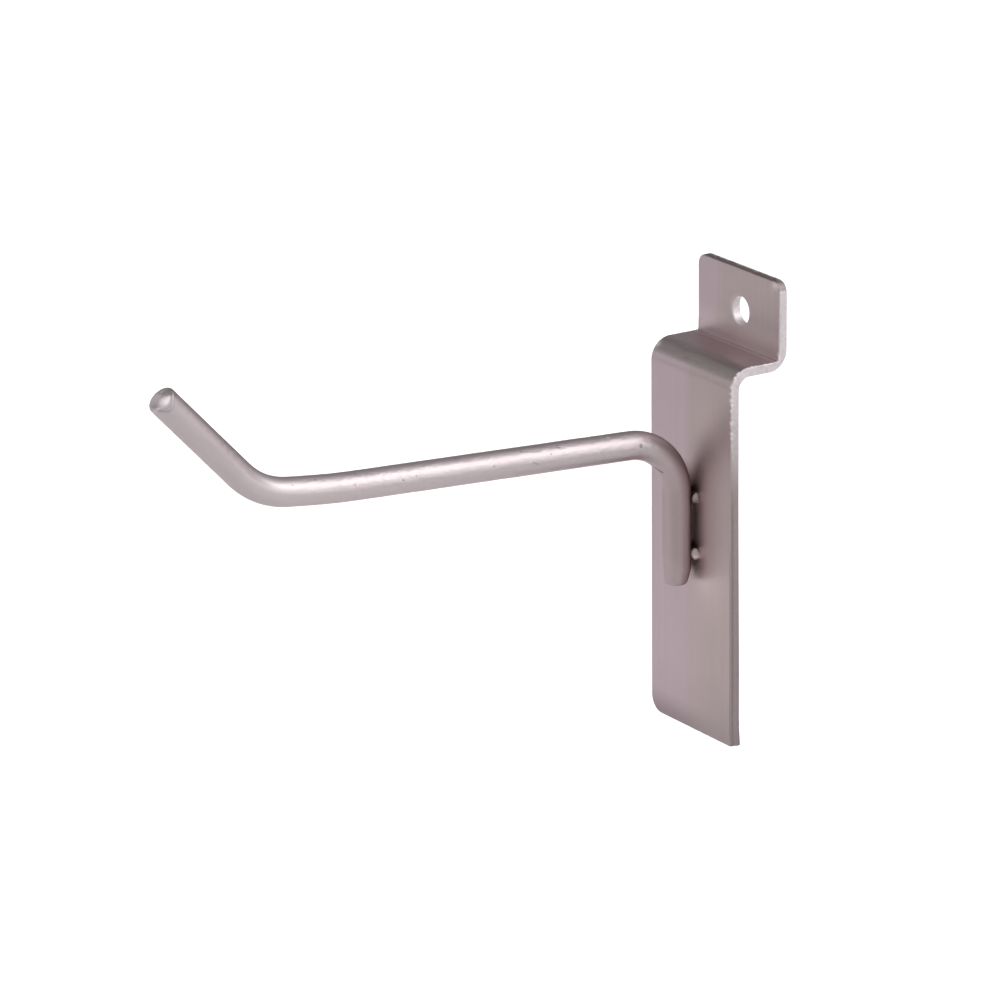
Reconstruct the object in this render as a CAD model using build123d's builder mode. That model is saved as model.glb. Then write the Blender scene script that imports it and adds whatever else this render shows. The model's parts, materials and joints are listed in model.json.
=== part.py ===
"""Slatwall hook: a steel strip folded into a slat clip, with a bent round wire welded to its front.

Millimetres and degrees. X runs across the plate, Y runs back into the wall and Z is up.
The origin is the centre of the plate's rear face, which lies against the face of the panel.
"""

from build123d import *
import os
from math import cos, radians, sin, tan

os.makedirs("parts", exist_ok=True)

# Folded plate
plate_width = 29.0
plate_height = 80.7  # bottom edge to the top of the web
plate_thickness = 2.0
slat_gap = 9.8  # rear face of the plate to the front face of the tab
tab_height = 16.5  # above the top of the web
web_bend_radius = 2.5  # inside the bend at the head of the plate
tab_bend_radius = 2.2  # inside the bend at the foot of the tab
tab_corner_radius = 2.5
foot_corner_radius = 3.5
cropped_corner_radius = 0.6  # the corner that the shear left almost square

# Punched hole in the tab
hole_diameter = 6.0
hole_rise = 7.6  # centre above the top of the web
hole_offset = 0.8  # centre beside the middle of the tab

# Bent wire, measured along its middle
wire_diameter = 6.0
hook_reach = 123.8  # front of the plate to the end of the tip
arm_height = 63.3  # where the lines of leg and arm cross, above the bottom edge
leg_foot_height = 33.0  # end of the leg above the bottom edge
arm_rise = 2.75  # above level
tip_rise = 47.0  # above level
tip_straight = 25.1
shoulder_radius = 12.1  # leg to arm
spring_radius = 194.0  # the slight bow where the arm runs into the tip bend
spring_angle = 5.0
tip_bend_radius = 17.8
tip_edge_radius = 0.8
foot_taper = 0.9  # taken off the radius by the shear at the end of the leg
foot_taper_length = 1.8
foot_edge_radius = 0.4

# Welds between leg and plate
weld_gap = 0.5  # plate to wire
weld_radius = 1.1
weld_width = 8.0
weld_rise = 6.2  # lower weld above the end of the leg
weld_pitch = 12.0

# Places on the plate
plate_bottom = -plate_height / 2
web_top = plate_height / 2
tab_top = web_top + tab_height
plate_front = -plate_thickness

# Places on the wire
wire_radius = wire_diameter / 2
leg_axis_y = plate_front - weld_gap - wire_radius
leg_foot = plate_bottom + leg_foot_height
leg_head = plate_bottom + arm_height - shoulder_radius * tan(radians((90 - arm_rise) / 2))

# The arm's straight run is what the reach leaves after the leg, the bends and the tip
bow_rise = arm_rise + spring_angle
reach_of_bends = (
    shoulder_radius * (1 - sin(radians(arm_rise)))
    + spring_radius * (sin(radians(bow_rise)) - sin(radians(arm_rise)))
    + tip_bend_radius * (sin(radians(tip_rise)) - sin(radians(bow_rise)))
)
reach_of_ends = plate_front - leg_axis_y + tip_straight * cos(radians(tip_rise))
arm_straight = (hook_reach - reach_of_bends - reach_of_ends) / cos(radians(arm_rise))


# The strip: its front line is drawn once and thickened backwards
with BuildPart() as back_plate:
    with BuildSketch(Plane.YZ):
        with BuildLine():
            front_line = FilletPolyline(
                (plate_front, plate_bottom),
                (plate_front, web_top),
                (slat_gap, web_top),
                (slat_gap, tab_top),
                radius=[web_bend_radius + plate_thickness, tab_bend_radius],
            )
            offset(front_line, amount=plate_thickness, side=Side.RIGHT)
        make_face()
    extrude(amount=plate_width / 2, both=True)

    corners = back_plate.edges().filter_by(Axis.Y).group_by(Axis.Z)
    left_foot, right_foot = corners[0].sort_by(Axis.X)
    fillet(corners[-1], radius=tab_corner_radius)
    fillet(left_foot, radius=foot_corner_radius)
    fillet(right_foot, radius=cropped_corner_radius)

    with Locations(Plane(origin=(hole_offset, slat_gap, web_top + hole_rise), z_dir=(0, -1, 0))):
        Hole(radius=hole_diameter / 2, depth=plate_thickness)


# The wire: one bar through the shoulder, along a slightly bowed arm and up the tip
with BuildPart() as hook_wire:
    with BuildLine(Plane.YZ) as wire_path:
        leg = Line((leg_axis_y, leg_foot), (leg_axis_y, leg_head))
        shoulder = JernArc(leg @ 1, leg % 1, shoulder_radius, 90 - arm_rise)
        arm = Line(shoulder @ 1, shoulder @ 1 + (shoulder % 1) * arm_straight)
        spring = JernArc(arm @ 1, arm % 1, spring_radius, -spring_angle)
        tip_bend = JernArc(spring @ 1, spring % 1, tip_bend_radius, bow_rise - tip_rise)
        Line(tip_bend @ 1, tip_bend @ 1 + (tip_bend % 1) * tip_straight)
    with BuildSketch(Plane(origin=leg @ 0, z_dir=leg % 0)):
        Circle(wire_radius)
    sweep(path=wire_path.line)

    foot_end, tip_end = hook_wire.faces().filter_by(GeomType.PLANE).sort_by(Axis.Z)
    fillet(tip_end.edges(), radius=tip_edge_radius)
    chamfer(foot_end.edges(), foot_taper, foot_taper_length, reference=foot_end)
    fillet(hook_wire.edges().group_by(Axis.Z)[0], radius=foot_edge_radius)


# The welds: beads squeezed out between leg and plate, each with a saddle for the leg
lower_weld_height = leg_foot + weld_rise
welds = {}
for name, height in (
    ("lower_weld", lower_weld_height),
    ("upper_weld", lower_weld_height + weld_pitch),
):
    centre = (0, plate_front, height)
    with BuildPart() as weld:
        with BuildSketch(Plane(origin=centre)):
            SlotOverall(weld_width, 2 * weld_radius)
            split(bisect_by=Plane.XZ)
        revolve(axis=Axis(centre, (1, 0, 0)))
        split(bisect_by=Plane(origin=centre, z_dir=(0, -1, 0)))
        add(hook_wire.part, mode=Mode.SUBTRACT)
    welds[name] = weld.part


back_plate.part.label = "back_plate"
export_step(back_plate.part, "parts/back_plate.step")
hook_wire.part.label = "hook_wire"
export_step(hook_wire.part, "parts/hook_wire.step")
for name, weld_part in welds.items():
    weld_part.label = name
    export_step(weld_part, f"parts/{name}.step")
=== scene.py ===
"""Looks of the slatwall hook: a folded strip, a bent wire and two welds, satin nickel, in a pale studio.

Lengths are millimetres until a mesh is made; the frame itself is in metres.
X runs across the plate, Y runs back into the wall and Z is up, as in the frame.
"""

import json
from math import pi, radians, sqrt, tan

import bmesh
import bpy
import numpy as np
from mathutils import Matrix, Vector


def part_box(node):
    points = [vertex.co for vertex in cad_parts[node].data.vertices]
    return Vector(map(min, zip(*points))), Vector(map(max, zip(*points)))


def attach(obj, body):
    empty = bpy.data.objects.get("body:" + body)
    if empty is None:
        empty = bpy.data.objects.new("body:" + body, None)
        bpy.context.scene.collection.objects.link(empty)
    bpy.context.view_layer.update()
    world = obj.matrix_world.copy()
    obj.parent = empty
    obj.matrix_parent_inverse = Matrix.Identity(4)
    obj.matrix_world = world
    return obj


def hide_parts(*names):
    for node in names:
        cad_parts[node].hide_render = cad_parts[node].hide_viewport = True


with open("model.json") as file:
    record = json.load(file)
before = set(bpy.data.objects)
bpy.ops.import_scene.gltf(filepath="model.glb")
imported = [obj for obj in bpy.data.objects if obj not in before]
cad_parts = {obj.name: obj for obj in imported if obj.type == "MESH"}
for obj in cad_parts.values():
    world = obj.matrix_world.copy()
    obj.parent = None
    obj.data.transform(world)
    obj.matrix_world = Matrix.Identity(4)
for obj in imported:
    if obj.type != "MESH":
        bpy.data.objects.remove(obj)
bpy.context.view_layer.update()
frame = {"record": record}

MM = 0.001


# Sizes read from the frame

mounts = {mount["name"]: mount for mount in frame["record"]["mounts"]}
plate_low, plate_high = (np.array(corner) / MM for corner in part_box("back_plate"))
wire_low, wire_high = (np.array(corner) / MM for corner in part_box("hook_wire"))

strip_width = plate_high[0] - plate_low[0]
strip_thickness = -plate_low[1]
foot_level = plate_low[2]
tab_level = plate_high[2]
web_level = mounts["web_seat"]["pos_m"][2] / MM + strip_thickness
tab_front = mounts["tab_face"]["pos_m"][1] / MM
hole_x, _, hole_level = np.array(mounts["tab_hole"]["pos_m"]) / MM
hole_radius = mounts["tab_hole"]["dims"]["r_mm"]

wire_radius = mounts["hook_tip"]["dims"]["r_mm"]
leg_axis_y = wire_high[1] - wire_radius
leg_foot_level = wire_low[2]
tip_axis = np.array(mounts["hook_tip"]["axis"])
tip_middle = np.array(mounts["hook_tip"]["pos_m"]) / MM
tip_barrel = mounts["hook_tip"]["dims"]["length_mm"]

# Sizes of the strip's bends and corners
head_bend = 4.5  # outside radius, where the plate turns into the web
fold_bend = 2.2  # radius of the front line where the web turns up into the tab
fold_crease = 0.2  # radius left in the crease itself, where the die bit deeper
tab_corner = 2.5
left_foot_corner = 3.5
right_foot_corner = 0.6
strip_edge_round = 0.22
strip_border = 0.45  # width of the band that carries edge, burr and wall

# How finely the meshes are divided
steps_across_strip = 34
steps_up_plate = 500
steps_up_tab = 84
steps_round_edge = 5
rings_along_wire = 740
steps_round_wire = 120

# Sizes of the wire's bends and ends
arm_level = 22.95  # where the lines of leg and arm cross
arm_rise = 2.75  # degrees above level
bow_rise = 7.75  # degrees, at the end of the slight bow before the tip bend
shoulder_radius = 12.1
bow_radius = 194.0
tip_bend_radius = 17.8
tip_round = 0.8
foot_round = 0.5
foot_drag = 0.7  # how far the cropping drew the foot down
tip_draw_turn = radians(17)  # below the right, the side towards which the shear drew the tip


# Shared mesh tools


def ripple(places, wavelength, seed, waves=28):
    """Smooth noise of about unit size: a sum of plane cosines of one wavelength in random directions."""
    draw = np.random.default_rng(seed)
    directions = draw.normal(size=(waves, places.shape[-1]))
    directions /= np.linalg.norm(directions, axis=1, keepdims=True)
    lengths = wavelength * draw.uniform(0.7, 1.5, waves)
    phases = draw.uniform(0, 2 * pi, waves)
    angles = places @ (2 * pi * directions / lengths[:, None]).T + phases
    return np.cos(angles).sum(-1) * sqrt(2 / waves)


def hill(distance, width):
    """A smooth hump: one at no distance, falling as a Gaussian of that half-width."""
    return np.exp(-((distance / width) ** 2))


def rise_between(values, low, high):
    """A smooth step: nought below low, one above high, a cubic between."""
    share = np.clip((values - low) / (high - low), 0, 1)
    return share * share * (3 - 2 * share)


def plateau(values, up_from, up_to, down_from, down_to):
    """A smooth plateau: a smooth step up over the first stretch and down again over the second."""
    return rise_between(values, up_from, up_to) * (1 - rise_between(values, down_from, down_to))


def lobe(angle, middle, width):
    """A smooth hump round one direction, whose middle and half-width are in degrees."""
    return hill(angle - radians(middle), radians(width))


def crowded_ends(count, crowding):
    """Fractions from nought to one, closer together near both ends: a line with a sine taken off it."""
    even = np.linspace(0, 1, count + 1)
    return even - crowding * np.sin(2 * pi * even) / (2 * pi)


def grid_faces(rows, columns, closed=False):
    """Quads of a grid stored row by row, each from a point, its neighbour and the two in the next row."""
    across = np.arange(columns if closed else columns - 1)
    row = np.arange(rows - 1)[:, None] * columns
    nearest = row + across
    beside = row + (across + 1) % columns
    return np.stack([nearest, beside, beside + columns, nearest + columns], -1).reshape(-1, 4)


def make_piece(name, points, faces, fields, finish, slot, *nodes):
    """One finished mesh from points in millimetres, with its fields, joined seams and smooth shading."""
    mesh = bpy.data.meshes.new(name)
    mesh.from_pydata((points * MM).tolist(), [], faces.tolist())
    for field, values in fields.items():
        kind, member = ("FLOAT_VECTOR", "vector") if values.ndim == 2 else ("FLOAT", "value")
        attribute = mesh.attributes.new(field, kind, "POINT")
        attribute.data.foreach_set(member, values.astype(np.float32).ravel())
    solid = bmesh.new()
    solid.from_mesh(mesh)
    bmesh.ops.remove_doubles(solid, verts=solid.verts, dist=1e-7)
    bmesh.ops.dissolve_degenerate(solid, edges=solid.edges, dist=1e-8)
    solid.to_mesh(mesh)
    solid.free()
    mesh.shade_smooth()
    mesh.materials.append(finish)
    piece = bpy.data.objects.new(name, mesh)
    bpy.context.scene.collection.objects.link(piece)
    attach(piece, "root")
    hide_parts(*nodes)
    return piece


# Shader maths


class Value:
    """A number on its way through a finish; arithmetic on it adds the matching Math nodes."""

    def __init__(self, finish, socket):
        self.finish = finish
        self.socket = socket

    def math(self, operation, first, second=0.0):
        return self.finish.node("ShaderNodeMath", {"operation": operation}, {0: first, 1: second})

    def __add__(self, other):
        return self.math("ADD", self, other)

    def __sub__(self, other):
        return self.math("SUBTRACT", self, other)

    def __rsub__(self, other):
        return self.math("SUBTRACT", other, self)

    def __mul__(self, other):
        return self.math("MULTIPLY", self, other)

    __radd__ = __add__
    __rmul__ = __mul__

    def most(self, other):
        return self.math("MAXIMUM", self, other)


class Finish:
    """One material and its nodes, with uniform numbers set straight on the shader."""

    def __init__(self, name, **shader):
        self.material = bpy.data.materials.new(name)
        self.material.use_nodes = True
        self.tree = self.material.node_tree
        self.surface = self.tree.nodes["Principled BSDF"]
        for socket, number in shader.items():
            self.surface.inputs[socket.replace("_", " ")].default_value = number

    def node(self, kind, settings=None, inputs=None, output=0):
        """Adds a node: its settings first, then values or links on its sockets."""
        node = self.tree.nodes.new(kind)
        for setting, value in (settings or {}).items():
            setattr(node, setting, value)
        for socket, value in (inputs or {}).items():
            if isinstance(value, Value):
                self.tree.links.new(value.socket, node.inputs[socket])
            else:
                node.inputs[socket].default_value = value
        return Value(self, node.outputs[output])

    def field(self, name, output="Fac"):
        """A field that the mesh carries."""
        return self.node("ShaderNodeAttribute", {"attribute_name": name}, output=output)

    def noise(self, place, scales, detail=2.0, roughness=0.5, shift=(0, 0, 0)):
        """Noise of nought to one, with its own number of features to the millimetre each way."""
        sockets = {"Vector": place, "Scale": scales, "Location": shift}
        stretched = self.node("ShaderNodeMapping", None, sockets)
        sockets = {"Vector": stretched, "Scale": 1.0, "Detail": detail, "Roughness": roughness}
        return self.node("ShaderNodeTexNoise", None, sockets, output="Fac")

    def step(self, value, low, high):
        """Smooth step of a value between two limits."""
        sockets = {"Value": value, "From Min": low, "From Max": high}
        return self.node("ShaderNodeMapRange", {"interpolation_type": "SMOOTHSTEP"}, sockets)

    def mix(self, share, first, second):
        """Colour between two colours."""
        first, second = ((*c, 1) if isinstance(c, tuple) else c for c in (first, second))
        sockets = {0: share, 6: first, 7: second}
        return self.node("ShaderNodeMix", {"data_type": "RGBA"}, sockets, output=2)

    def shade(self, colour, value):
        """A colour made lighter or darker by a number near one."""
        grey = self.node("ShaderNodeCombineXYZ", None, {0: value, 1: value, 2: value})
        return self.node("ShaderNodeVectorMath", {"operation": "MULTIPLY"}, {0: colour, 1: grey})

    def bump(self, height, distance, strength=1.0, under=None):
        """Normal of a small relief, with its depth in millimetres, over another one if there is one."""
        sockets = {"Height": height, "Distance": distance * MM, "Strength": strength}
        if under:
            sockets["Normal"] = under
        return self.node("ShaderNodeBump", None, sockets)

    def apply(self, **links):
        """Links the values to the shader's sockets of those names."""
        for socket, value in links.items():
            self.tree.links.new(value.socket, self.surface.inputs[socket.replace("_", " ")])
        return self.material


# Finishes


def strip_nickel():
    """Satin nickel on the folded strip: brushed along it, lilac on the left and greyer on the right, with
    die lines across the bends, painted shade on the plate behind the leg, dark lines with painted shade
    along the crease, and raised burrs whose near-white colour is a painted glint.

    The sheared wall is dull and dark where it tore, and paler higher up the right wall, along the tab's
    top and round the hole.
    """
    finish = Finish("strip_nickel", Metallic=1.0, Specular_Tint=(0.80, 0.74, 0.75, 1))
    grey_nickel, lilac_nickel = (0.548, 0.453, 0.455), (0.60, 0.488, 0.525)
    bent_nickel, painted_shade_dark = (0.562, 0.480, 0.484), (0.15, 0.05, 0.05)
    torn_dark, torn_pale, pale_wall = (0.31, 0.252, 0.257), (0.43, 0.362, 0.365), (0.76, 0.70, 0.72)
    lines_and_shade_dark, burr_glint_pale = (0.20, 0.15, 0.16), (0.95, 0.88, 0.90)
    place = finish.field("strip_place", "Vector")
    cut = finish.field("cut_wall")
    burr = finish.field("burr")
    bent = finish.field("bent")
    brush = finish.noise(place, (7.0, 7.0, 0.10), 3.0, 0.6)
    streak = finish.noise(place, (0.9, 0.9, 0.012), 2.0, 0.5)
    cloud = finish.noise(place, (0.12, 0.12, 0.06), 2.0, 0.5, (3, 7, 1))
    grain = finish.noise(place, (5.0, 5.0, 5.0), 2.0, 0.6)
    blotch = finish.noise(place, (1.1, 1.1, 1.1), 2.0, 0.6, (4, 4, 1))
    die = finish.noise(place, (0.10, 0.10, 3.0), 3.0, 0.65, (1, 4, 6)) * bent
    fleck = finish.step(finish.noise(place, (1.7, 1.7, 1.7), 1.0, 0.4, (9, 2, 4)), 0.80, 0.85)
    tone = finish.mix(finish.field("lilac"), grey_nickel, lilac_nickel)
    tone = finish.mix(bent, tone, bent_nickel)
    light = 0.90 + 0.10 * brush + 0.07 * streak + 0.04 * cloud - 0.40 * die - 0.18 * fleck
    light = light - finish.field("shade")
    # painted shade: the plate behind the leg made dark where the leg shades it
    face = finish.mix(finish.field("thin_plate"), finish.shade(tone, light), painted_shade_dark)
    wall = finish.shade(finish.mix(grain, torn_dark, torn_pale), 0.88 + 0.2 * grain)
    bright = finish.shade(pale_wall, 0.68 + 0.2 * grain + 0.4 * blotch)
    wall = finish.mix(finish.field("bright_wall"), wall, bright)
    colour = finish.mix(cut, face, wall)
    # dark lines of edge, wall and flecks, with painted shade along the crease
    colour = finish.mix(finish.field("score"), colour, lines_and_shade_dark)
    # painted glints: near-white colour on the raised burrs and on the left of the hole's rim
    colour = finish.mix(burr, colour, burr_glint_pale)
    roughness = 0.36 + 0.06 * brush + 0.04 * cloud + 0.12 * cut - 0.05 * burr
    relief = brush * (1 - cut) + 1.5 * grain * cut
    return finish.apply(Base_Color=colour, Roughness=roughness, Normal=finish.bump(relief, 0.026, 0.6))


def wire_nickel():
    """Satin nickel on the drawn wire: faint lines along it, shallow dents on the arm, dark pits, dull
    scuffs, bright nicks and bare bright metal on the tip's sheared end. Painted light lightens it towards
    the tip and puts a highlight on the tip's end; painted shade darkens the leg's shaded side, stripes
    over the tip and bands on its end."""
    finish = Finish("wire_nickel", Metallic=1.0, Specular_Tint=(0.60, 0.54, 0.55, 1))
    lilac_nickel, grey_nickel = (0.572, 0.502, 0.518), (0.56, 0.495, 0.505)
    leg_nickel, painted_shade_dark, pits_and_shade_dark = (0.585, 0.478, 0.495), (0.26, 0.19, 0.17), (0.16, 0.13, 0.14)
    bare_dark, bare_bright, nicks_and_highlight_pale = (0.78, 0.70, 0.72), (0.92, 0.85, 0.87), (0.98, 0.92, 0.94)
    place = finish.field("bar_place", "Vector")
    pit = finish.field("pit")
    worn = finish.field("worn")
    scuff = finish.field("scuff")
    leg_side = finish.field("leg_side")
    drawn = finish.noise(place, (3.2, 3.2, 0.05), 3.0, 0.6)
    cloud = finish.noise(place, (0.25, 0.25, 0.07), 2.0, 0.5, (5, 2, 9))
    grain = finish.noise(place, (4.5, 4.5, 3.0), 2.0, 0.6)
    fleck = finish.step(finish.noise(place, (2.8, 2.8, 2.2), 1.0, 0.4, (2, 8, 4)), 0.79, 0.84)
    dents = finish.noise(place, (1.1, 1.1, 0.8), 3.0, 0.6, (6, 1, 3))
    tone = finish.mix(finish.step(cloud, 0.3, 0.7), lilac_nickel, grey_nickel)
    tone = finish.mix(leg_side, tone, leg_nickel)
    # painted light: the wire lighter from the arm towards the tip
    light = 0.86 + 0.19 * finish.field("rubbed") + 0.06 * drawn + 0.05 * grain + 0.03 * cloud
    light = light + 0.06 * dents - 0.10 * scuff
    face = finish.field("sheared_face")
    colour = finish.mix(face, finish.shade(tone, light), finish.mix(grain, bare_dark, bare_bright))
    # dark pits and flecks, with the painted shade on the tip's end
    colour = finish.mix(pit.most(0.5 * fleck * (1 - face)), colour, pits_and_shade_dark)
    # bright nicks, with the painted highlight on the tip's end
    colour = finish.mix(worn, colour, nicks_and_highlight_pale)
    # painted shade on the leg's shaded side and in stripes over the tip
    colour = finish.mix(finish.field("thin_wire"), colour, painted_shade_dark)
    roughness = 0.34 + 0.06 * drawn + 0.05 * cloud + 0.12 * scuff - 0.04 * worn + 0.08 * face
    roughness = roughness + 0.13 * leg_side
    dented = finish.bump(dents * finish.field("rolled"), 0.12, 0.8)
    relief = finish.bump(drawn + 0.6 * grain - 1.2 * pit, 0.008, 0.5, dented)
    return finish.apply(Base_Color=colour, Roughness=roughness, Normal=relief)


def weld_nickel():
    """Plated weld metal: dull lumps, with painted glints on their tops and painted shade in the hollows
    and next to the leg.
    """
    finish = Finish("weld_nickel", Metallic=1.0)
    weld_shade_dark, weld_glint_pale = (0.17, 0.10, 0.10), (0.72, 0.635, 0.64)
    place = finish.node("ShaderNodeTexCoord", output="Object")
    crown = finish.field("crown")
    lumps = finish.noise(place, (900, 900, 900), 3.0, 0.6)
    spatter = finish.noise(place, (2600, 2600, 2600), 2.0, 0.6)
    # painted shade in the hollows and next to the leg, painted glints on the lump tops
    colour = finish.mix(finish.step(crown, -0.9, 0.6), weld_shade_dark, weld_glint_pale)
    colour = finish.shade(colour, 0.85 + 0.2 * lumps + 0.1 * spatter)
    relief = finish.bump(lumps + 0.4 * spatter, 0.03, 0.7)
    return finish.apply(Base_Color=colour, Roughness=0.42 + 0.15 * lumps, Normal=relief)


# The folded strip

plate_run = web_level - head_bend - foot_level
head_end = plate_run + head_bend * pi / 2
web_run = tab_front - fold_bend - (head_bend - strip_thickness)
fold_start = head_end + web_run
tab_start = fold_start + fold_bend * pi / 2
strip_length = tab_start + tab_level - web_level - fold_bend
hole_run = tab_start + hole_level - web_level - fold_bend


def crease_depth(fold_angle):
    """How much deeper than the fold's own arc the tighter crease lies, along the arc's own spokes.

    Each spoke is followed to the circle of the crease, or to the straight beside it where that is nearer.
    """
    offset = (fold_bend - fold_crease) * (np.cos(fold_angle) + np.sin(fold_angle))
    shift = 2 * (fold_bend - fold_crease) ** 2
    circle = offset + np.sqrt(np.maximum(fold_crease ** 2 - shift + offset ** 2, 0))
    nearest = np.maximum(np.maximum(np.cos(fold_angle), np.sin(fold_angle)), 1e-6)
    inside_fold = (fold_angle > 0) & (fold_angle < pi / 2)
    reach = np.where(inside_fold, np.minimum(circle, fold_bend / nearest), fold_bend)
    return np.maximum(reach - fold_bend, 0)


def fold_strip(flat):
    """Folds points of the flat strip: across, depth behind its front, run from its foot.

    The heading turns evenly through the head bend and back through the fold. The front line's place is
    the closed sum of its straights and arcs, and depth is added at right angles to it, more of it at the
    front of the crease.
    """
    across, depth, run = flat.T
    head_angle = np.clip((run - plate_run) / head_bend, 0, pi / 2)
    fold_angle = np.clip((run - fold_start) / fold_bend, 0, pi / 2)
    depth = depth + crease_depth(fold_angle) * (1 - depth / strip_thickness)
    heading = head_angle - fold_angle
    back = head_bend * (1 - np.cos(head_angle)) + np.clip(run - head_end, 0, web_run)
    back = back + fold_bend * np.sin(fold_angle) - strip_thickness
    up = foot_level + np.minimum(run, plate_run) + head_bend * np.sin(head_angle)
    up = up + fold_bend * (1 - np.cos(fold_angle)) + np.maximum(run - tab_start, 0)
    return np.stack([across, back + depth * np.cos(heading), up - depth * np.sin(heading)], -1)


def outline_side(side, shares, insets):
    """One side of the strip's flat outline, from the middle of one corner arc to the middle of the next.

    A share of the side's length falls on the first arc, the straight or the last arc, and each inset
    keeps the arcs' centres and takes itself off their radii. Returns shares by insets by two.
    """
    start, along, inward, length, first_round, last_round = side
    eighth = pi / 4
    straight = length - first_round - last_round
    travel = (shares * (eighth * (first_round + last_round) + straight))[:, None]
    first_angle = np.clip(eighth - travel / first_round, 0, eighth)
    last_angle = np.clip((travel - eighth * first_round - straight) / last_round, 0, eighth)
    share = np.clip((travel - eighth * first_round) / straight, 0, 1)
    first_arc = first_round - insets
    last_arc = last_round - insets
    forward = first_round + share * straight
    forward = forward - first_arc * np.sin(first_angle) + last_arc * np.sin(last_angle)
    inside = insets + first_arc * (1 - np.cos(first_angle)) + last_arc * (1 - np.cos(last_angle))
    return start + forward[..., None] * along + inside[..., None] * inward


def side_share(side, distance):
    """The share of a side's length at a distance along its straight, measured from its square corner."""
    length, first_round, last_round = side[3:]
    eighth = pi / 4
    travel = eighth * first_round + distance - first_round
    return travel / (eighth * (first_round + last_round) + length - first_round - last_round)


def fill_between(lower, upper, left, right):
    """Surface inside four edge lines: the blends of both opposite pairs, less that of the corners."""
    across = np.linspace(0, 1, len(lower))[None, :, None]
    up = np.linspace(0, 1, len(left))[:, None, None]
    rows = (1 - up) * lower[None] + up * upper[None]
    columns = (1 - across) * left[:, None] + across * right[:, None]
    corners = (1 - up) * ((1 - across) * lower[0] + across * lower[-1])
    corners = corners + up * ((1 - across) * upper[0] + across * upper[-1])
    return rows + columns - corners


def strip_sides():
    """The four sides of the flat outline, round from the foot: start, directions, length and corners."""
    half = strip_width / 2
    right, up = np.array([1.0, 0.0]), np.array([0.0, 1.0])
    low_left, low_right = np.array([-half, 0.0]), np.array([half, 0.0])
    top_left, top_right = np.array([-half, strip_length]), np.array([half, strip_length])
    return (
        (low_left, right, up, strip_width, left_foot_corner, right_foot_corner),
        (low_right, up, -right, strip_length, right_foot_corner, tab_corner),
        (top_right, -right, -up, strip_width, tab_corner, tab_corner),
        (top_left, -up, right, strip_length, tab_corner, left_foot_corner),
    )


def flat_points(places, depth):
    """Points of the flat strip from places across and along it, all at one depth."""
    places = places.reshape(-1, 2)
    return np.stack([places[:, 0], np.full(len(places), depth), places[:, 1]], -1)


def rounded_wall():
    """Section of a wall through the strip as insets and depths, with a quarter circle at both edges."""
    turn = np.linspace(0, pi / 2, steps_round_edge + 1)
    inset = strip_edge_round * (1 - np.sin(turn))
    depth = strip_edge_round * (1 - np.cos(turn))
    wall = np.linspace(strip_edge_round, strip_thickness - strip_edge_round, 8)[1:-1]
    insets = np.concatenate([inset, 0 * wall, inset[::-1]])
    depths = np.concatenate([depth, wall, strip_thickness - depth[::-1]])
    return insets, depths


def strip_edge_profile():
    """Section of the rim as insets and depths, from the front border round the wall to the rear one."""
    insets, depths = rounded_wall()
    border = np.array([strip_border, (strip_border + strip_edge_round) / 2])
    insets = np.concatenate([border, insets, border[::-1]])
    depths = np.concatenate([0 * border, depths, 0 * border + strip_thickness])
    return insets, depths


def strip_shares():
    """How the outline is divided: each side's shares, with one that falls where the tab starts."""
    _, right, _, left = strip_sides()
    across = crowded_ends(steps_across_strip, 0.8)
    up_plate = crowded_ends(steps_up_plate, 0.55)
    up_tab = crowded_ends(steps_up_tab, 0.6)
    split_right = side_share(right, tab_start)
    split_left = side_share(left, strip_length - tab_start)
    right_shares = np.concatenate([up_plate * split_right, split_right + up_tab[1:] * (1 - split_right)])
    left_shares = np.concatenate([up_tab * split_left, split_left + up_plate[1:] * (1 - split_left)])
    return across, right_shares, across, left_shares


def worn_rim(rim, insets, depths):
    """The rim's points, pushed in and out by two ripples that are rougher where the wall tore behind, and
    how much of each point is wall."""
    flat = np.stack([rim[..., 0], np.broadcast_to(depths, rim.shape[:2]), rim[..., 1]], -1)
    outward = rim[:, len(insets) // 2] - rim[:, 0]
    outward = outward / np.linalg.norm(outward, axis=1, keepdims=True)
    wall = 1 - rise_between(np.broadcast_to(insets, rim.shape[:2]), 0.0, 0.6 * strip_edge_round)
    tear = wall * rise_between(depths, 0.5, 1.1)
    rough = 0.012 * ripple(flat, 0.45, 3) * (0.35 * wall + tear) + 0.006 * ripple(flat, 2.4, 4) * wall
    flat[..., 0] += rough * outward[:, None, 0]
    flat[..., 2] += rough * outward[:, None, 1]
    return flat.reshape(-1, 3), wall.ravel()


def worn_bore(hole, spokes):
    """The hole's wall on spokes from its middle, roughened by a ripple where it tore behind, and how much
    of each point is wall."""
    lip, depths = rounded_wall()
    bore = hole + (hole_radius + lip)[:, None, None] * spokes
    flat = np.stack([bore[..., 0], np.broadcast_to(depths[:, None], bore.shape[:2]), bore[..., 1]], -1)
    wall = rise_between(strip_edge_round - lip, 0, strip_edge_round)[:, None]
    wear = 0.015 * ripple(flat, 0.6, 8) * wall * rise_between(depths, 0.4, 1.2)[:, None]
    flat[..., 0] += wear * spokes[:, 0]
    flat[..., 2] += wear * spokes[:, 1]
    return flat.reshape(-1, 3), np.broadcast_to(wall, bore.shape[:2]).ravel()


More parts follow.
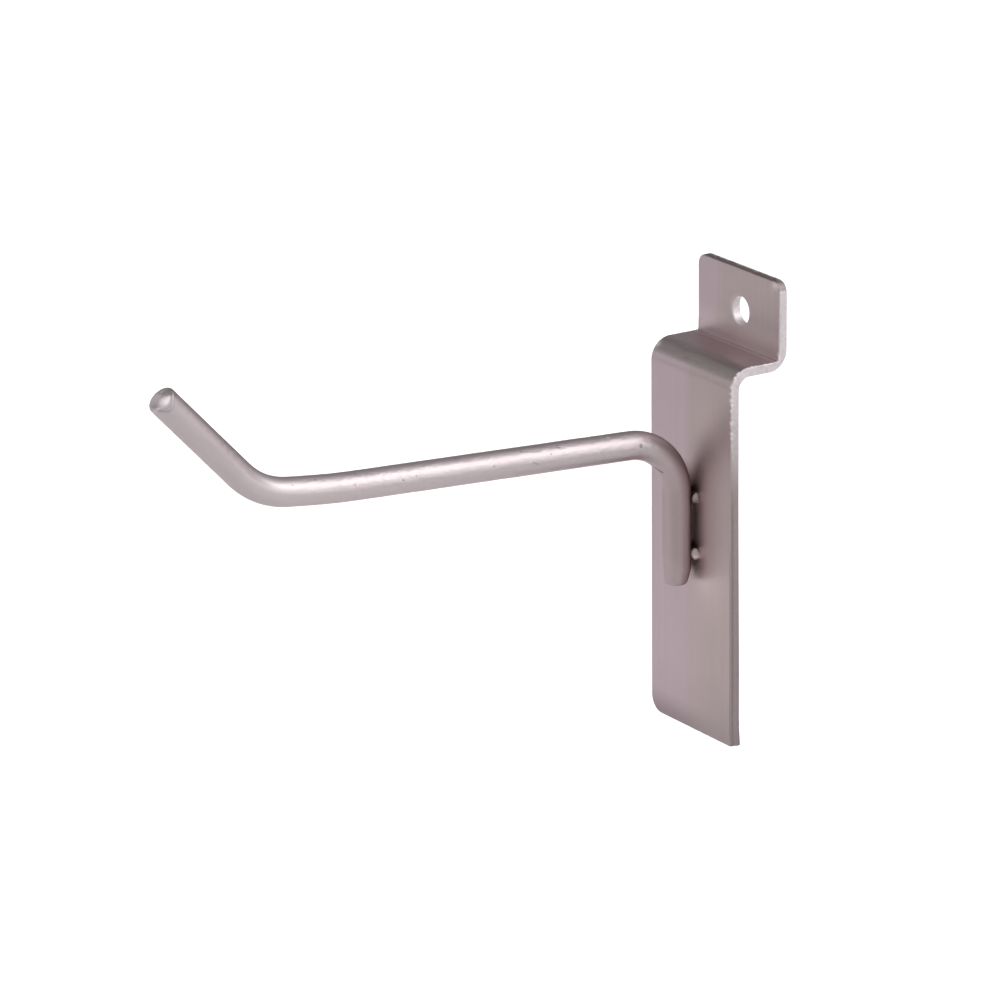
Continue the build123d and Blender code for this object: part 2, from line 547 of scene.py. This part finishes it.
def strip_mesh():
    """The strip drawn flat as a rim, two plate faces, two tab faces and the hole, joined edge to edge.

    A plate face is the blend of its four edges, and a tab face runs straight from the hole's circle to
    the tab's outline.
    """
    sides, shares = strip_sides(), strip_shares()
    insets, depths = strip_edge_profile()
    parts, faces, walls, count = [], [], [], 0

    def take(points, quads, wall):
        """Adds one part, its faces counted on from the parts before it."""
        nonlocal count
        parts.append(points)
        faces.append(quads + count)
        walls.append(np.broadcast_to(wall, len(points)))
        count += len(points)

    rim = np.concatenate([outline_side(side, share[:-1], insets) for side, share in zip(sides, shares)])
    rim_points, rim_wall = worn_rim(rim, insets, depths)
    first = np.arange(len(insets) - 1)
    last = first + (len(rim) - 1) * len(insets)
    closing = np.stack([last, last + 1, first + 1, first], -1)
    take(rim_points, np.concatenate([grid_faces(len(rim), len(insets)), closing]), rim_wall)

    border = rim[:, 0]
    starts = np.cumsum([0] + [len(share) - 1 for share in shares])
    bottom, right, top, left = (
        np.concatenate([border[low:high], border[high:high + 1] if high < len(border) else border[:1]])
        for low, high in zip(starts, starts[1:])
    )
    right_split = int(np.argmin(abs(right[:, 1] - tab_start)))
    left_split = int(np.argmin(abs(left[:, 1] - tab_start)))
    seam = np.stack([np.interp(shares[0], [0, 1], [left[left_split, 0], right[right_split, 0]])] * 2, -1)
    seam[:, 1] = tab_start
    plate = fill_between(bottom, seam, left[left_split:][::-1], right[:right_split + 1])
    tab_edge = np.concatenate([seam[:-1], right[right_split:-1], top[:-1], left[:left_split]])

    hole = np.array([hole_x, hole_run])
    angles = np.arctan2(*(tab_edge - hole).T[::-1])
    spokes = np.stack([np.cos(angles), np.sin(angles)], -1)
    rim_circle = hole + (hole_radius + strip_edge_round) * spokes
    spread = np.array([0, 0.05, 0.12, 0.22, 0.36, 0.52, 0.7, 0.86, 1])[:, None, None]  # closer at the hole
    tab = rim_circle + spread * (tab_edge - rim_circle)
    for depth, flip in ((0.0, False), (strip_thickness, True)):
        plate_quads = grid_faces(*plate.shape[:2])
        tab_quads = grid_faces(len(spread), len(tab_edge), closed=True)
        take(flat_points(plate, depth), plate_quads[:, ::-1] if flip else plate_quads, 0.0)
        take(flat_points(tab, depth), tab_quads if flip else tab_quads[:, ::-1], 0.0)

    bore_points, bore_wall = worn_bore(hole, spokes)
    bore_rows = len(bore_points) // len(tab_edge)
    take(bore_points, grid_faces(bore_rows, len(tab_edge), closed=True), bore_wall)
    return np.concatenate(parts), np.concatenate(faces), np.concatenate(walls)


def strip_marks(across, depth, run):
    """Tones and marks over the flat strip, as smooth steps and humps of its own places.

    Lilac is the pinker side and bent the bends where the die slid. The rest are painted shade on the plate
    behind the leg; dark lines of edge, wall and flecks, with painted shade along the crease; the paler
    sheared wall higher up on the right, along the tab's top and round the hole; and shade, how much darker
    the front is, below nought where it is lighter.
    """
    half = strip_width / 2
    from_hole = np.hypot(across - hole_x, run - hole_run) - hole_radius
    front = 1 - rise_between(depth, 0, 0.3)
    plate = 1 - rise_between(run, plate_run + 1, plate_run + 4)
    tab = rise_between(run, tab_start - 0.5, tab_start + 1.5)
    beside_head = rise_between(run, 50, 62) * plate
    left_plate = 1 - rise_between(across, -8 + 6 * beside_head, 9 - 9.5 * beside_head)
    left_tab = 1 - rise_between(across, -9.4, -7.4 + 0.3 * (run - tab_start))
    lilac = left_plate * (1 - tab) + (0.25 + 0.75 * left_tab) * tab
    bent = plateau(run, plate_run + 1.6, plate_run + 2.8, fold_start + 0.8, tab_start)

    behind = plateau(across, -3.4, -1.6, 0.7, 2.4)
    leg_run = leg_foot_level - foot_level
    beside_leg = plateau(run, leg_run + 1.2, leg_run + 3.2, leg_run + 19, leg_run + 26)
    # painted shade: a dark strip on the plate behind the leg, where the leg shades it
    thin_plate = 0.97 * front * behind * beside_leg

    wander = 0.16 * ripple(across[:, None], 9.0, 61) + 0.05 * ripple(across[:, None], 2.0, 62)
    # painted shade: a dark line along the crease, where the fold shades itself
    crease = 0.30 * hill(run - (fold_start + 1.74), 0.20)
    press = (0.26 + 0.14 * rise_between(across, -4, 8)) * hill(run - (head_end - 1.9) - wander, 0.75)
    press = press + 0.14 * hill(run - (plate_run + 2.9) - wander, 0.16) * rise_between(wander, -0.1, 0.15)
    rim_dark = 0.45 * hill(half + across, 0.5) * rise_between(run, head_end - 2, head_end) * (1 - tab)
    edge_line = 0.60 * hill(half - across - 0.32, 0.13) * plateau(run, 0.5, 3, 38, 46)
    fleck = hill(np.hypot(across - 5.0, run - 57.3), 0.24)
    fleck = fleck + 0.6 * hill(np.hypot(across + 3.1, run - 79.3), 0.22)
    top_wall = rise_between(run, strip_length - 0.40, strip_length - 0.02)
    torn = depth - 1.15 - 0.16 * ripple(across[:, None], 2.2, 64)
    stain = 0.85 * top_wall * (0.80 + 0.20 * ripple(np.stack([across, 3 * depth], -1), 1.6, 65))
    stain = stain * (1 - rise_between(torn, -0.25, 0.35))
    right_wall = rise_between(across, half - 0.2, half - 0.02)
    wall_lines = 0.50 * hill(depth - 0.45, 0.28) + 0.40 * hill(depth - 1.95, 0.20)
    wall_lines = wall_lines * right_wall * (1 - rise_between(run, 47, 57))
    front_lines = front * np.maximum.reduce([crease, press, rim_dark, edge_line, fleck])
    score = np.maximum.reduce([front_lines, stain, wall_lines])

    wall_paleness = 0.05 + 0.62 * rise_between(run, 52, 67) + 0.33 * rise_between(run, 66, 78)
    bright = right_wall * wall_paleness * (1 - top_wall)
    bright = np.maximum(bright, 0.75 * top_wall * rise_between(torn, 0.0, 0.5))
    bright = np.maximum(bright, 1 - rise_between(from_hole, 0.0, 0.2))
    shade = (1 - rise_between(run, 2, 17)) * (0.06 + 0.07 * rise_between(across, -6, 12))
    shade = shade + (1 - rise_between(run, 0, 6)) * (0.10 + 0.24 * (1 - rise_between(across, -6, 10)))
    shade = shade - 0.26 * hill(across - 7.5, 5.5) * plateau(run, 20, 41, 60, 76)
    shade = shade - 0.42 * hill(across - 4.6, 2.7) * plateau(run, 28, 40, 54, 64)
    in_fold = plateau(run, head_end - 1.2, head_end + 0.8, tab_start, tab_start + 5)
    above = rise_between(run, fold_start + 1.7, fold_start + 2.1)
    below = (0.12 + 0.06 * rise_between(across, 0, 12)) + 0.40 * hill(run - (fold_start + 1.25), 0.40)
    shade = shade - (below + above * (0.12 + 0.27 * rise_between(across, -13, 8) - below)) * in_fold
    return {
        "lilac": lilac,
        "bent": bent * front,
        "thin_plate": thin_plate,
        "score": np.clip(score, 0, 1),
        "bright_wall": bright,
        "shade": front * shade,
    }


def sheared_strip():
    """The strip's mesh with its burrs raised, its bends' edges swollen and its right edge sprung, folded.

    Each change is a hump round its place, times smooth steps that end it, added across or in depth.
    """
    flat, faces, wall = strip_mesh()
    across, depth, run = flat.T.copy()
    place = flat.copy()

    right_front = hill(strip_width / 2 - across, 0.40) * hill(depth, 0.55)
    beads = rise_between(ripple(run[:, None], 3.5, 21), -1.3, 0.4)
    beads = beads * rise_between(ripple(np.stack([run, 1.6 * depth], -1), 0.9, 22), -0.7, 0.7)
    burr = right_front * beads * plateau(run, 62, 68, fold_start - 1, fold_start + 1)
    wedge = hill(strip_width / 2 - across, 0.8) * hill(depth, 0.5) * hill(run - (fold_start + 2.0), 0.7)
    tab_burr = 0.8 * hill(np.hypot(across - 12.9, run - (strip_length - 1.1)), 0.8) * hill(depth, 0.3)
    knock = 0.9 * hill(np.hypot(across + 14.0, run - 79.9), 0.75) * hill(depth, 0.4)
    from_hole = np.hypot(across - hole_x, run - hole_run) - hole_radius
    # painted highlight: a pale ring on the left of the hole's front rim, in colour only
    lip = 0.6 * hill(from_hole - 0.1, 0.13) * hill(depth, 0.4) * rise_between(hole_x - across, -0.5, 2)
    burr = np.clip(burr + wedge + tab_burr + knock, 0, 1)
    flat[:, 0] += 0.07 * burr
    flat[:, 1] -= 0.11 * burr + 0.22 * wedge
    burr = np.clip(burr + lip, 0, 1)

    edge = hill(strip_width / 2 - abs(across), 1.3) * np.sign(across)
    middle = strip_thickness / 2
    inwards = (depth - middle) / middle
    head = hill(run - (plate_run + head_end) / 2, 3.0)
    fold = hill(run - (fold_start + tab_start) / 2, 1.6)
    flat[:, 0] += edge * (0.14 * head - 0.07 * fold) * inwards

    share = depth / strip_thickness
    from_right = strip_width / 2 - across
    flare = hill(run, 3.2) * hill(from_right, 1.2) * (0.25 + 0.75 * share)
    sprung = hill(from_right, 1.0) * share ** 2 * (1 - rise_between(run, 8, 58))
    flat[:, 0] += 0.38 * flare + 0.36 * sprung
    fields = {"strip_place": place, "cut_wall": wall, "burr": burr, **strip_marks(*place.T)}
    return fold_strip(flat), faces, fields


# The bent wire

shoulder_turn = radians(90 - arm_rise)
leg_straight = arm_level - shoulder_radius * tan(shoulder_turn / 2) - leg_foot_level
tip_rise = np.arctan2(tip_axis[2], -tip_axis[1])
tip_start = tip_middle - tip_axis * tip_barrel / 2
tip_straight = tip_barrel + tip_round


def turned_reach(radius, low, high):
    """How far out a bend reaches between two rises: its radius times the difference of their sines."""
    return radius * (np.sin(high) - np.sin(low))


arm_reach = (
    leg_axis_y - tip_start[1]
    - shoulder_radius * (1 - np.sin(radians(arm_rise)))
    - turned_reach(bow_radius, radians(arm_rise), radians(bow_rise))
    - turned_reach(tip_bend_radius, radians(bow_rise), tip_rise)
)
arm_straight = arm_reach / np.cos(radians(arm_rise))
wire_stretches = (
    # length, rise at its end
    (leg_straight, pi / 2),
    (shoulder_radius * shoulder_turn, radians(arm_rise)),
    (arm_straight, radians(arm_rise)),
    (bow_radius * radians(bow_rise - arm_rise), radians(bow_rise)),
    (tip_bend_radius * (tip_rise - radians(bow_rise)), tip_rise),
    (tip_straight, tip_rise),
)
wire_knots = np.cumsum([0] + [length for length, rise in wire_stretches])
wire_rises = np.array([pi / 2] + [rise for length, rise in wire_stretches])
wire_length = wire_knots[-1]


def wire_line(run):
    """The wire's middle line: its rise is linear along each stretch, its place the running integral."""
    fine = np.linspace(0, wire_length, 30001)
    rise = np.interp(fine, wire_knots, wire_rises)
    step = fine[1]
    out = np.concatenate([[0], np.cumsum((np.cos(rise[1:]) + np.cos(rise[:-1])) / 2 * step)])
    up = np.concatenate([[0], np.cumsum((np.sin(rise[1:]) + np.sin(rise[:-1])) / 2 * step)])
    place_y = leg_axis_y - np.interp(run, fine, out)
    place_z = leg_foot_level + np.interp(run, fine, up)
    return place_y, place_z, np.interp(run, fine, rise)


def wire_profile():
    """Runs and radii of the wire's outline from the middle of its foot to the middle of its tip."""
    turn = np.linspace(0, pi / 2, 9)
    foot_flat = wire_radius - foot_round
    foot_disc = np.linspace(0, foot_flat, 6)[:-1]
    foot_run = foot_round * (1 - np.cos(turn))
    foot_bend = foot_flat + foot_round * np.sin(turn)
    body_run = np.linspace(foot_round, wire_length - tip_round, rings_along_wire)[1:-1]
    tip_run = wire_length - tip_round * (1 - np.sin(turn))
    tip_bend = wire_radius - tip_round * (1 - np.cos(turn))
    tip_flat = wire_radius - tip_round
    tip_disc = np.linspace(tip_flat, 0, 14)[1:]
    runs = [0 * foot_disc, foot_run, body_run, tip_run, 0 * tip_disc + wire_length]
    radii = [foot_disc, foot_bend, 0 * body_run + wire_radius, tip_bend, tip_disc]
    return np.concatenate(runs), np.concatenate(radii)


def cropped_foot(run, around):
    """How far the cropping pressed the foot in: a power fall, short and deep behind, long in front."""
    behind = np.cos(around - radians(57))
    depth = 0.72 + 0.20 * behind
    length = 4.6 - 1.9 * behind
    return depth * np.clip(1 - run / length, 0, 1) ** 1.2


def rolled_tip(side, over, run):
    """How far the shear drew the tip down, with a painted highlight, its bare face and bands of painted
    shade.

    The drop is the square of how far a point lies past a parabola that opens towards the drawn side.
    """
    towards = side * np.cos(tip_draw_turn) - over * np.sin(tip_draw_turn)
    beside = side * np.sin(tip_draw_turn) + over * np.cos(tip_draw_turn) - 0.4
    drop = np.clip(towards - 0.40 * beside ** 2, 0, None) ** 2 / 7.5
    drawn = drop * rise_between(run, wire_length - 5.0, wire_length - tip_round)
    face = rise_between(run, wire_length - 0.75, wire_length - 0.45)
    # painted highlight: a pale spot on the right of the tip's end
    painted_highlight = hill(np.hypot(side - 2.15, over - 0.45), 1.25) * face
    mottle = 0.28 + 0.30 * rise_between(side, -0.5, 1.5)
    mottle = mottle + 0.10 * ripple(np.stack([side, over], -1), 0.9, 71)
    # painted shade: dark bands over the top of the tip's end, a spot low down and lobes round its rim
    painted_end_shade = face * rise_between(over - 0.2 * side, 0.65, 1.05) * mottle
    painted_end_shade = np.maximum(painted_end_shade, 0.40 * face * hill(np.hypot(side - 1.3, over + 2.0), 0.6))
    rim = plateau(run, wire_length - 1.3, wire_length - 0.7, wire_length - 0.2, wire_length)
    angle = np.arctan2(over, side)
    painted_end_shade = np.maximum(painted_end_shade, rim * (0.70 * lobe(angle, 72, 32) + 0.28 * lobe(angle, 22, 26)))
    dull = 0.95 * hill(np.hypot(side - 0.1, over + 2.4), 1.3)
    dull = np.maximum(0.45 * rise_between(side, 1.2, 2.6), dull)
    return drawn, painted_highlight, face * (1 - dull), painted_end_shade


# Marks on the bar: run from the foot in millimetres, angle from the right over the top in degrees, size
pits = (
    (64.6, 60, 0.17), (93.1, 12, 0.17), (90.0, 20, 0.15), (103.3, 70, 0.16), (104.2, 20, 0.15),
    (71.7, 14, 0.15), (112.8, 59, 0.16), (58.0, 30, 0.15), (118.5, 40, 0.15), (79.5, 75, 0.16),
)
ring_pits = ((55.6, 58, 0.30), (36.3, 12, 0.26))
bright_nicks = (
    (47.1, 90, 0.22), (44.7, 80, 0.20), (43.3, 68, 0.24), (130.6, 42, 0.20), (136.1, 46, 0.20),
    (55.6, 58, 0.16),
)
scratches = (
    # from, to, width, depth
    ((62.5, 9), (61.2, -3), 0.10, 0.6),
    ((28.6, 276), (26.2, 298), 0.19, 1.0),
)
scuffed_places = ((145.7, 30), (140.8, 44), (124.0, 60), (33.0, 70))


def bar_marks(run, around):
    """Pits, bright nicks and scuffs, each a hump of the distance over the wire's surface from its place.

    A ring pit is a hump of the distance from a circle, open on one side, and a scratch a hump of the
    distance from a line. Painted shade lies in a band along the right of the tip's barrel and over the
    right of its last millimetre, and a dark lip runs round its rim.
    """
    pit, worn, scuff = np.zeros(run.shape), np.zeros(run.shape), np.zeros(run.shape)

    def away(mark_run, mark_angle):
        """Distances along the bar and round its surface from a mark."""
        turned = (around - radians(mark_angle) + pi) % (2 * pi) - pi
        return run - mark_run, wire_radius * turned

    for mark_run, mark_angle, width in pits:
        pit = np.maximum(pit, hill(np.hypot(*away(mark_run, mark_angle)), width))
    for mark_run, mark_angle, radius in ring_pits:
        along, sideways = away(mark_run, mark_angle)
        ring = hill(np.hypot(along, sideways) - radius, 0.13)
        pit = np.maximum(pit, ring * rise_between(along, -0.45, -0.05))
    for mark_run, mark_angle, width in bright_nicks:
        worn = np.maximum(worn, hill(np.hypot(*away(mark_run, mark_angle)), width))
    for (from_run, from_angle), (to_run, to_angle), width, depth in scratches:
        along, sideways = away(from_run, from_angle)
        line = np.array([to_run - from_run, wire_radius * radians(to_angle - from_angle)])
        share = np.clip((along * line[0] + sideways * line[1]) / (line @ line), 0, 1)
        from_line = np.hypot(along - share * line[0], sideways - share * line[1])
        pit = np.maximum(pit, depth * hill(from_line, width))
    for mark_run, mark_angle in scuffed_places:
        along, sideways = away(mark_run, mark_angle)
        scuff = np.maximum(scuff, hill(np.hypot(along / 2.2, sideways), 0.55))
    turned = (around + pi) % (2 * pi) - pi
    near_end = rise_between(run, wire_length - 1.0, wire_length - 0.7)
    # painted shade: darkens the highlight along the tip's barrel and at its end
    scuff = np.maximum(scuff, 0.95 * lobe(turned, 12, 24) * rise_between(run, 128, 138))
    scuff = np.maximum(scuff, lobe(turned, 8, 50) * near_end)
    lip = wire_length - 0.55 + 0.12 * np.sin(5 * turned) + 0.05 * np.sin(17 * turned)
    lip_line = hill(run - lip, 0.13) * rise_between(-abs(turned + 0.65), -0.55, -0.25)
    return np.maximum(pit, 0.50 * lip_line), worn, scuff


def bent_wire_mesh():
    """The wire as a profile of run and radius turned round its line, cropped at both ends and pitted.

    The painted shade is lobes round the leg's shaded side, and others over the tip.
    """
    run, radius = wire_profile()
    around = np.linspace(0, 2 * pi, steps_round_wire + 1)[:-1]
    run, around = (values.copy() for values in np.broadcast_arrays(run[:, None], around))
    radius = radius[:, None] * (1 - cropped_foot(run, around) / wire_radius)
    pit, worn, scuff = bar_marks(run, around)
    barrel = rise_between(radius, 2.2, 2.9)
    bar = np.stack([wire_radius * np.cos(around), wire_radius * np.sin(around), run / 1.5], -1)
    on_arm = plateau(run, 24, 36, 110, 126)
    uneven = 0.008 * ripple(bar / 3, 1.6, 41) + 0.006 * ripple(bar, 1.2, 43) * on_arm
    radius = radius - barrel * (0.05 * pit + uneven)
    side, over = radius * np.cos(around), radius * np.sin(around)
    place = np.stack([side, over, run], -1)
    drawn, painted_highlight, tip_face, painted_end_shade = rolled_tip(side, over, run)
    drawn = drawn + foot_drag * (1 - rise_between(run, 0, 4))
    # painted shade: the leg's side towards the plate, and stripes over the tip
    leg_and_tip_shade = np.minimum(0.95 * lobe(around, 64, 24) + 0.42 * lobe(around, 30, 14), 0.95)
    leg_and_tip_shade = leg_and_tip_shade * (1 - rise_between(run, 22, 38))
    ragged = around + radians(3) * ripple(run[..., None], 2.2, 45)
    on_tip = rise_between(run, 124, 136)
    leg_and_tip_shade = leg_and_tip_shade + 0.34 * (lobe(ragged, 43, 13) + lobe(around, 86, 28)) * on_tip
    place_y, place_z, rise = wire_line(run)
    out, up = np.cos(rise), np.sin(rise)
    points = np.stack([side, place_y + over * up + drawn * out, place_z + over * out - drawn * up], -1)
    faces = grid_faces(*run.shape, closed=True)
    fields = {
        # pits, with the painted shade on the tip's end
        "pit": np.maximum(barrel * pit, painted_end_shade),
        "scuff": scuff,
        # bright nicks, with the painted highlight on the tip's end
        "worn": np.maximum(worn, 0.85 * painted_highlight),
        "sheared_face": tip_face,
        "leg_side": 1 - rise_between(run, 22, 36),
        "thin_wire": leg_and_tip_shade,
        "rolled": on_arm,
        # painted light: the wire lighter from the arm towards the tip
        "rubbed": np.clip((run - 45) / 95, 0, 1),
    }
    fields = {name: values.ravel() for name, values in fields.items()}
    return points.reshape(-1, 3), faces, {"bar_place": place.reshape(-1, 3), **fields}


# The welds


bead_half_size = np.array([3.6, 1.35, 1.7])  # across, in depth and in height
bead_set = 0.45  # how far its middle is in front of the plate and below the solid's middle


def weld_mesh(node, seed, glint_strength):
    """Metal squeezed out between leg and plate: a closed surface of two angles whose half-height and
    half-depth swell towards both sides of the leg, with lumps from two ripples. On the ends that stand out
    beside the leg, the tops of the lumps carry a painted glint, as strong as the bead's glint strength.
    The hollows and the part next to the leg carry painted shade."""
    low, high = (np.array(corner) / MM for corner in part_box(node))
    middle = np.array([0, high[1] - bead_set, (low[2] + high[2]) / 2 - bead_set])
    tilt = np.linspace(0, pi, 97)[:, None]
    around = np.linspace(0, 2 * pi, 129)[:-1]
    along = np.cos(tilt) * np.ones(len(around))
    swell = 0.62 + 0.38 * hill(abs(along) - 0.72, 0.25)
    section = np.sin(tilt) ** 0.7 * swell
    points = np.stack([along, section * np.cos(around), section * np.sin(around)], -1) * bead_half_size
    lump = 0.055 * ripple(points, 2.6, seed) + 0.02 * ripple(points, 1.0, seed + 1)
    points = points * (1 + lump[..., None] * np.array([0.25, 1, 1]))
    beside_leg = rise_between(abs(points[..., 0]), 2.0, 3.0)
    # painted glint on the lump tops at the bead's ends, painted shade in the hollows and next to the leg
    crown = 4 * lump + glint_strength - 1.8 * (1 - beside_leg)
    faces = grid_faces(*along.shape, closed=True)
    return (middle + points).reshape(-1, 3), faces, {"crown": crown.ravel()}


make_piece("slat_clip", *sheared_strip(), strip_nickel(), "plate_finish", "back_plate")
make_piece("bent_wire", *bent_wire_mesh(), wire_nickel(), "wire_finish", "hook_wire")
weld_look = weld_nickel()
# the lower bead's painted glint is the stronger
for weld, seed, glint_strength in (("lower_weld", 33, 0.45), ("upper_weld", 57, 0.0)):
    make_piece(f"{weld}_bead", *weld_mesh(weld, seed, glint_strength), weld_look, "weld_finish", weld)


# Studio


def pale_floor():
    """A wide plain floor well below the hook."""
    finish = Finish("pale_floor", Base_Color=(0.86, 0.86, 0.86, 1), Roughness=0.9)
    half, level = 9.0, -0.30
    mesh = bpy.data.meshes.new("floor")
    corners = [(x, y, level) for x, y in ((-half, -half), (half, -half), (half, half), (-half, half))]
    mesh.from_pydata(corners, [], [(0, 1, 2, 3)])
    mesh.materials.append(finish.material)
    floor = bpy.data.objects.new("floor", mesh)
    bpy.context.scene.collection.objects.link(floor)


def soft_box(name, direction, distance, size, radiance):
    """A square soft box that faces the hook: its power is its radiance times pi times its area."""
    light = bpy.data.lights.new(name, "AREA")
    light.shape = "SQUARE"
    light.size = size
    light.energy = radiance * pi * size ** 2
    box = bpy.data.objects.new(name, light)
    towards = Vector(direction).normalized()
    box.location = towards * distance
    box.rotation_euler = towards.to_track_quat("Z", "Y").to_euler()
    bpy.context.scene.collection.objects.link(box)


def floor_wash(name, place, aim, half_angle, power):
    """A soft spot that lights a patch of floor beside the hook and misses the hook itself."""
    light = bpy.data.lights.new(name, "SPOT")
    light.spot_size = radians(2 * half_angle)
    light.spot_blend = 0.5
    light.shadow_soft_size = 0.15
    light.energy = power
    lamp = bpy.data.objects.new(name, light)
    lamp.location = place
    lamp.rotation_euler = (Vector(place) - Vector(aim)).to_track_quat("Z", "Y").to_euler()
    bpy.context.scene.collection.objects.link(lamp)


soft_boxes = (
    # name, direction from the hook, distance, size, radiance
    ("key_box", (0.50, 0.56, 0.66), 1.6, 1.0, 2.25),
    ("low_key_box", (0.84, 0.47, 0.22), 1.8, 1.1, 1.2),
    ("rear_top_box", (0.02, 0.58, 0.81), 1.8, 0.9, 0.45),
    ("right_top_box", (0.55, 0.05, 0.83), 2.0, 1.2, 0.5),
    ("front_top_box", (-0.10, -0.75, 0.65), 2.2, 1.4, 1.35),
    ("front_low_box", (-0.25, -0.95, 0.20), 2.4, 1.0, 1.2),
    ("left_low_box", (-0.82, -0.55, 0.10), 2.4, 0.8, 0.5),
    ("rear_box", (0.14, 0.93, 0.34), 2.2, 1.2, 0.35),
)
floor_washes = (
    # name, place, the point on the floor it aims at, half angle in degrees, power
    ("rear_wash", (-1.15, 0.68, 1.7), (-1.0, 0.60, -0.3), 30, 165),
    ("front_wash", (-0.1, -1.3, 1.3), (-0.25, -0.85, -0.3), 22, 22),
    ("right_wash", (0.9, 0.6, 1.2), (0.42, 0.27, -0.3), 18, 18),
)


def studio():
    """Dim even air, a key box and a lower one up behind the right, gentler boxes above, in front and
    behind, and three washes that keep the floor pale."""
    world = bpy.data.worlds.new("studio_air")
    world.use_nodes = True
    world.node_tree.nodes["Background"].inputs["Color"].default_value = (0.36, 0.36, 0.36, 1)
    bpy.context.scene.world = world
    pale_floor()
    for box in soft_boxes:
        soft_box(*box)
    for wash in floor_washes:
        floor_wash(*wash)


def photo_camera():
    """The camera at the photograph's angle, found from the object's own edges."""
    place = Vector((0.996754, -0.681960, 0.392450))
    right = Vector((0.539055, 0.842214, -0.009733))
    down = Vector((0.249829, -0.170916, -0.953086))
    forward = Vector((-0.804366, 0.511335, -0.302542))
    picture_widths = 6.16825  # focal length in widths of the picture
    lens = bpy.data.cameras.new("photo_camera")
    lens.sensor_width = 36.0
    lens.lens = lens.sensor_width * picture_widths
    lens.clip_end = 100.0
    camera = bpy.data.objects.new("photo_camera", lens)
    turn = Matrix((right, -down, -forward)).transposed().to_4x4()
    camera.matrix_world = Matrix.Translation(place) @ turn
    bpy.context.scene.collection.objects.link(camera)
    bpy.context.scene.camera = camera


studio()
photo_camera()
bpy.context.scene.view_settings.view_transform = "Standard"
